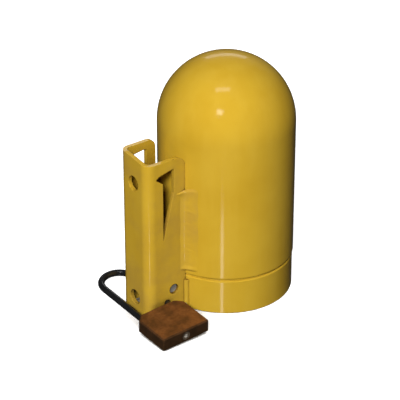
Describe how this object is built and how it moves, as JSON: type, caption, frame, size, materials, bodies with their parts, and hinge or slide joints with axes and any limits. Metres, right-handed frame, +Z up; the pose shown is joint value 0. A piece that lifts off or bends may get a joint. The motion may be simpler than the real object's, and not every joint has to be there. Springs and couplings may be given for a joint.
{
  "type": "trailer coupler lock",
  "caption": "Domed steel cup that covers a trailer coupler, with a welded lock channel, a cross pin and a padlock threaded through the channel's flanges.",
  "frame": {"origin": "on the cup's axis, in the plane of its mouth", "axes": "+Z up along the cup's axis towards its dome; the lock channel stands on the -X side; the padlock body lies on the -Y side of the channel"},
  "size_m": [0.1879, 0.1312, 0.2325],
  "materials": {
    "yellow_paint": "gloss enamel",
    "zinc_steel": "zinc plated",
    "spring_steel": "plain spring steel",
    "dark_chrome": "dark chrome",
    "weathered_brass": "aged dark brown",
    "bright_brass": "machined",
    "plug_metal": "nickel plated face"
  },
  "bodies": {
    "cup": {"dome_cap": "yellow_paint", "cup_tube": "yellow_paint", "mouth_ring": "yellow_paint", "mouth_weld": "yellow_paint", "lock_channel": "yellow_paint", "front_channel_weld": "yellow_paint", "rear_channel_weld": "yellow_paint", "front_ring_weld": "yellow_paint", "rear_ring_weld": "yellow_paint"},
    "cross_pin": {"cross_pin": "zinc_steel", "pin_clips": "spring_steel"},
    "padlock": {"padlock_body": "weathered_brass", "bore_plug": "weathered_brass", "shackle_keeper": "zinc_steel", "plug_dowel": "zinc_steel", "chamber_plugs": "weathered_brass", "driver_pins": "bright_brass", "driver_springs": "spring_steel", "shackle_spring": "spring_steel"},
    "shackle": {"shackle": "dark_chrome"},
    "key_plug": {"key_plug": "plug_metal", "key_pins": "bright_brass", "lock_cam": "zinc_steel"},
    "short_side_bolt": {"bolt_short_side": "zinc_steel"},
    "long_side_bolt": {"bolt_long_side": "zinc_steel"}
  },
  "joints": [
    {"name": "cross_pin_turn", "type": "hinge", "parent": "cup", "child": "cross_pin", "pos_m": [-0.0743, 0, 0.0243], "axis": [0, 1, 0], "continuous": true},
    {"name": "padlock_swing", "type": "hinge", "parent": "cup", "child": "padlock", "pos_m": [-0.08192, -0.04535, 0.00989], "axis": [0, 0.9976, 0.0698], "range_deg": [0, 30]},
    {"name": "shackle_pop", "type": "slide", "parent": "padlock", "child": "shackle", "axis": [0, 0.9976, 0.0698], "range_m": [0, 0.011]},
    {"name": "key_turn", "type": "hinge", "parent": "padlock", "child": "key_plug", "pos_m": [-0.0984, -0.05528, 0.00844], "axis": [0, 0.9976, 0.0698], "range_deg": [0, 90]},
    {"name": "short_side_bolt_draw", "type": "slide", "parent": "padlock", "child": "short_side_bolt", "axis": [-0.999, 0.0032, -0.0453], "range_m": [0, 0.0026]},
    {"name": "long_side_bolt_draw", "type": "slide", "parent": "padlock", "child": "long_side_bolt", "axis": [0.999, -0.0032, 0.0453], "range_m": [0, 0.0026]}
  ],
  "couplings": [
    {"joint": "key_turn", "follows": "shackle_pop", "rad_per_m": 142.8},
    {"joint": "short_side_bolt_draw", "follows": "shackle_pop", "ratio": 0.2363},
    {"joint": "long_side_bolt_draw", "follows": "shackle_pop", "ratio": 0.2363}
  ]
}
